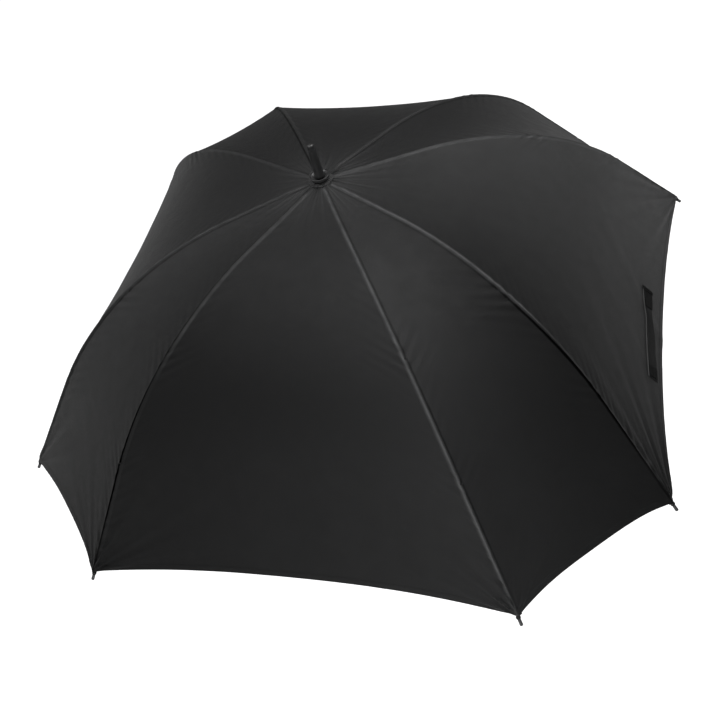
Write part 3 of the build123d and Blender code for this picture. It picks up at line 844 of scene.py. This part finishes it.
def make_rosette(material):
    """Gathered ring of cloth under the cup."""
    z_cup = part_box("canopy_cup")[0].z
    turns, rows = 240, 14
    angle = np.linspace(0, 2 * pi, turns, endpoint=False)
    t = np.linspace(0, 1, rows)[:, None]
    fold = np.cos(22 * angle + 0.7 * np.sin(5 * angle)) + 0.35 * np.cos(9 * angle + 1)
    r = 0.0080 + (0.0120 + 0.0004 * fold) * t
    base = CROWN_Z + CLOTH_LIFT - (r - CROWN_R) * sin(SLOPE_TOP)
    z = z_cup - 0.0003 + (base + 0.0011 - z_cup) * smooth((t - 0.35) / 0.65)
    z = z + 0.00042 * fold * smooth((t - 0.3) / 0.4)
    grid = np.stack([r * np.cos(angle), r * np.sin(angle), z + 0 * angle], -1)
    faces = []
    for i in range(rows - 1):
        for j in range(turns):
            k = (j + 1) % turns
            faces.append((i * turns + j, (i + 1) * turns + j, (i + 1) * turns + k, i * turns + k))
    cloth = np.stack([angle * 0.015 + 0 * r, r, 0 * r], -1)
    ring = mesh_object("crown_gather", grid.reshape(-1, 3), faces, material, cloth.reshape(-1, 3))
    solidify(ring, 0.0005)
    place(ring, "frame", "canopy_cloth")


def make_tips(dark, grey):
    """Dark collar at the corner of the cloth, and the slim grey end of the rib beyond it."""
    for n in range(1, 9):
        azimuth = RIB_AZIMUTH[n] + (LEAN if n % 2 else -LEAN)
        r, z, slope = rib_rz(RIB_LENGTH)
        slope = float(slope)
        origin = (*(float(c) for c in rod_xy(n, RIB_LENGTH)), float(z))
        axis = (cos(slope) * cos(azimuth), cos(slope) * sin(azimuth), -sin(slope))
        collar = [(0.0, 0.0006), (0.0027, 0.0006), (0.0033, 0.0010), (0.0036, 0.0021), (0.0035, 0.0036)]
        collar += [(0.0031, 0.0047), (0.0026, 0.0052), (0.0, 0.0052)]
        end = [(0.0, 0.0050), (0.0024, 0.0050), (0.0025, 0.0100), (0.0026, 0.0138)]
        end += arc((0.0008, 0.0142), 0.0018, 0, 90, 7) + [(0.0, 0.0160)]
        for name, profile, material in ((f"tip_collar_{n}", collar, dark), (f"tip_end_{n}", end, grey)):
            stands_for = [f"rib_tip_{n}"] if material is grey else []
            piece = lathe(name, profile, material, origin, axis, 32)
            place(piece, f"rib_end_{n}", "tip_plastic", *stands_for)


def make_rods(material):
    """The outer part of each fibreglass rod, out from the flex."""
    # arc lengths: close together where the rod flexes, then out to just inside the tip
    bend, beyond = np.linspace(0.3613, 0.390, 12), np.linspace(0.398, 0.755, 44)
    s = np.concatenate([bend, beyond])
    for n in range(1, 9):
        path = np.stack([*rod_xy(n, s), rib_rz(s)[1]], -1)
        rod = tube(f"rod_{n}", path, ROD_R, material, 16)
        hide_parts(f"rib_outer_{n}")
        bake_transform(rod)


def grip_grooves(r, first):
    """Profile of three shallow grooves round the grip, upwards from height first."""
    profile = []
    for k in range(3):
        groove = first + 0.006 * k
        profile += [(r, groove - 0.0012), (r - 0.0007, groove), (r, groove + 0.0012)]
    return profile


def make_grip(foam):
    """Foam grip with a round end, a slight waist and three grooves towards each end."""
    low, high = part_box("handle_grip")
    z0, z1, r = low.z, high.z, high.x
    profile = [(0.0, z0), (0.006, z0)] + arc((r - 0.008, z0 + 0.008), 0.008, -90, 0, 8)
    profile += grip_grooves(r, z0 + 0.018)
    profile += [(r, z0 + 0.05), (r - 0.0008, z0 + 0.085), (r - 0.0008, z0 + 0.11), (r, z1 - 0.04)]
    profile += grip_grooves(r, z1 - 0.026)
    profile += arc((r - 0.0025, z1 - 0.0025), 0.0025, 0, 90, 6) + [(0.0072, z1)]
    place(lathe("foam_grip", profile, foam, segments=96), "frame", "foam_grip", "handle_grip")


# ---------------------------------------------------------------- tie strap
STRAP_LENGTH, STRAP_WIDTH = 0.190, 0.025
# stretch from t to t, width as a share of the tape's, and height above the tape's face
STRAP_LAYERS = (
    ("strap_hook_patch", 0.86, 0.985, 0.92, 0.0012),
    ("strap_double_end", 0.0, 0.22, 1.01, 0.0011),
    ("strap_fold", 0.0, 0.035, 1.14, 0.0021),
)


def strap_centre(t):
    """Across and along the +X panel, and height above it, for t from the sewn end to the free end."""
    across = 0.052 - 0.184 * t
    along = 0.681 + 0.025 * t + 0.0035 * np.sin(2 * pi * t) - 0.004 * smooth((t - 0.75) / 0.25)
    along = along - 0.0045 * np.exp(-(((t - 0.22) / 0.13) ** 2)) + 0.0035 * smooth((t - 0.35) / 0.3)
    lift = 0.0007 + 0.0010 * np.sin(pi * t) ** 2 + 0.0006 * np.sin(3 * pi * t) ** 2
    return across, along, lift


def make_strap(tape, hook, edge_highlight):
    """Fastening strap: tape, sewn double end, hook patch and bound edge; the bound edge and the rolled end are
    pale with a painted highlight.
    """
    n, rows, columns = 8, 90, 15
    middle = pi / 4 * n
    t = np.linspace(0, 1, rows)
    v = np.linspace(-0.5, 0.5, columns)
    across, along, lift = strap_centre(t)
    width = 0.0255 - 0.0060 * np.exp(-(((t - 0.34) / 0.12) ** 2))
    y = across[:, None] + v[None, :] * 0.0030
    s = along[:, None] + v[None, :] * width[:, None]
    up = 0.0001 + lift[:, None] * smooth(v + 0.5)[None, :] + 0.0002 * np.cos(8 * v)[None, :] ** 2
    r, z, slope = rib_rz(s, CLOTH_LIFT)
    half_width = r * np.sin(half_angle(n, s))
    points = panel_surface(n, y / half_width, s)[0]
    out = np.stack([np.sin(slope) * cos(middle), np.sin(slope) * sin(middle), np.cos(slope)], -1)
    points = points + out * up[..., None]
    across_tape, along_tape = v[None, :] * width[:, None], (t * STRAP_LENGTH)[:, None] + 0 * v
    cloth = np.stack([across_tape, along_tape, 0 * across_tape], -1)
    strap = sheet_object("tie_strap_tape", points, tape, cloth)
    solidify(strap, 0.0011, 1.0)
    extras = []
    for name, first, last, share, rise in STRAP_LAYERS:
        rows_in = (t >= first) & (t <= last)
        centre = points[rows_in].mean(1, keepdims=True)
        layer = points[rows_in] * share + centre * (1 - share) + out[rows_in] * rise
        piece = sheet_object(name, layer, hook, cloth[rows_in])
        solidify(piece, 0.0009, 1.0)
        extras.append(piece)
    # one edge and the rolled end painted pale: painted highlight where they catch the light
    extras.append(tube("strap_bound_edge", points[:, 0] + out[:, 0] * 0.0007, 0.0009, edge_highlight, 8))
    extras.append(tube("strap_rolled_end", points[0] + out[0] * 0.0026, 0.0009, edge_highlight, 8))
    for piece in (strap, *extras):
        place(piece, "canopy_outer_8", "strap_cloth")
        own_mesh(piece)
    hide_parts("tie_strap")


# ---------------------------------------------------------------- everything together
def finish_nodes(materials):
    """Materials for the CAD nodes that stay as they are."""
    for name, obj in frame["nodes"].items():
        for kind, material in materials.items():
            if name.startswith(kind):
                for k in range(len(obj.material_slots)):
                    obj.material_slots[k].material = material
                obj.data.polygons.foreach_set("use_smooth", [True] * len(obj.data.polygons))
                obj.data.set_sharp_from_angle(angle=radians(35))


make_camera()
make_stage()
CLOTH = cloth_material(
    "canopy_cloth", (0.0070, 0.0071, 0.0073), (0.0092, 0.0093, 0.0096), WEAVE,
    roughness=0.5, sheen=0.13, painted_light=True,
)
# the last colour is the painted highlight on the welts' crests
SEAM = seam_material("seam_cloth", (0.0072, 0.0073, 0.0075), (0.0094, 0.0095, 0.0098), (0.115, 0.116, 0.118))
# much paler copy of the canopy cloth: painted light on the gathered ring, which lies in the cup's shade
GATHER_PAINTED_LIGHT = cloth_material(
    "gather_cloth_painted_light", (0.028, 0.0283, 0.0288), (0.048, 0.0485, 0.049), WEAVE,
    roughness=0.42, sheen=0.16, gloss=0.45,
)
THREAD = cloth_material("thread", (0.008, 0.008, 0.008), (0.012, 0.012, 0.012), 0.0003, roughness=0.6)
TAPE = cloth_material(
    "strap_tape", (0.0050, 0.0051, 0.0052), (0.0080, 0.0081, 0.0082), 0.0008,
    roughness=0.8, sheen=0.06, depth=0.0002, gloss=0.16,
)
HOOK = cloth_material(
    "hook_tape", (0.0025, 0.0025, 0.0025), (0.0050, 0.0050, 0.0050), 0.0011,
    roughness=0.9, sheen=0.04, depth=0.0003, gloss=0.10,
)
# pale colour of the strap's edge and rolled end: painted highlight where they catch the light
EDGE_PAINTED_HIGHLIGHT = cloth_material(
    "strap_edge_painted_highlight", (0.045, 0.0454, 0.046), (0.055, 0.0555, 0.056), 0.0004,
    roughness=0.5, sheen=0.2, depth=0.0001, gloss=0.4,
)
FERRULE = plastic_material("ferrule_plastic", (0.030, 0.0303, 0.031), 0.36)
PALE = metal_material("ferrule_disc", (0.17, 0.17, 0.168), 0.45)
NYLON = plastic_material("black_nylon", (0.018, 0.018, 0.0185), 0.42)
CUP = plastic_material("cup_plastic", (0.055, 0.055, 0.056), 0.32, coat=0.4)
TIP = plastic_material("tip_plastic", (0.085, 0.086, 0.088), 0.45)
ROD = plastic_material("fibreglass_rod", (0.014, 0.014, 0.015), 0.28, 1500.0, 0.00002, 0.3)
FOAM = plastic_material("foam", (0.016, 0.016, 0.017), 0.82, 1400.0, 0.00022)
ENAMEL = plastic_material("black_enamel", (0.015, 0.015, 0.016), 0.30, 300.0, 0.00003, 0.4)
STEEL = metal_material("bright_steel", (0.55, 0.55, 0.56), 0.28)

make_canopy(CLOTH)
make_seams(SEAM)
make_ties(THREAD)
make_ferrule(FERRULE, PALE)
make_cup(CUP)
make_rosette(GATHER_PAINTED_LIGHT)
make_tips(NYLON, TIP)
make_rods(ROD)
make_grip(FOAM)
make_strap(TAPE, HOOK, EDGE_PAINTED_HIGHLIGHT)
finish_nodes({
    "shaft": ENAMEL, "crown": NYLON, "crown_ring": STEEL, "runner": NYLON, "runner_ring": STEEL,
    "handle_collar": NYLON, "top_catch": STEEL, "bottom_catch": STEEL, "rib_inner": ROD, "stretcher": ENAMEL,
})
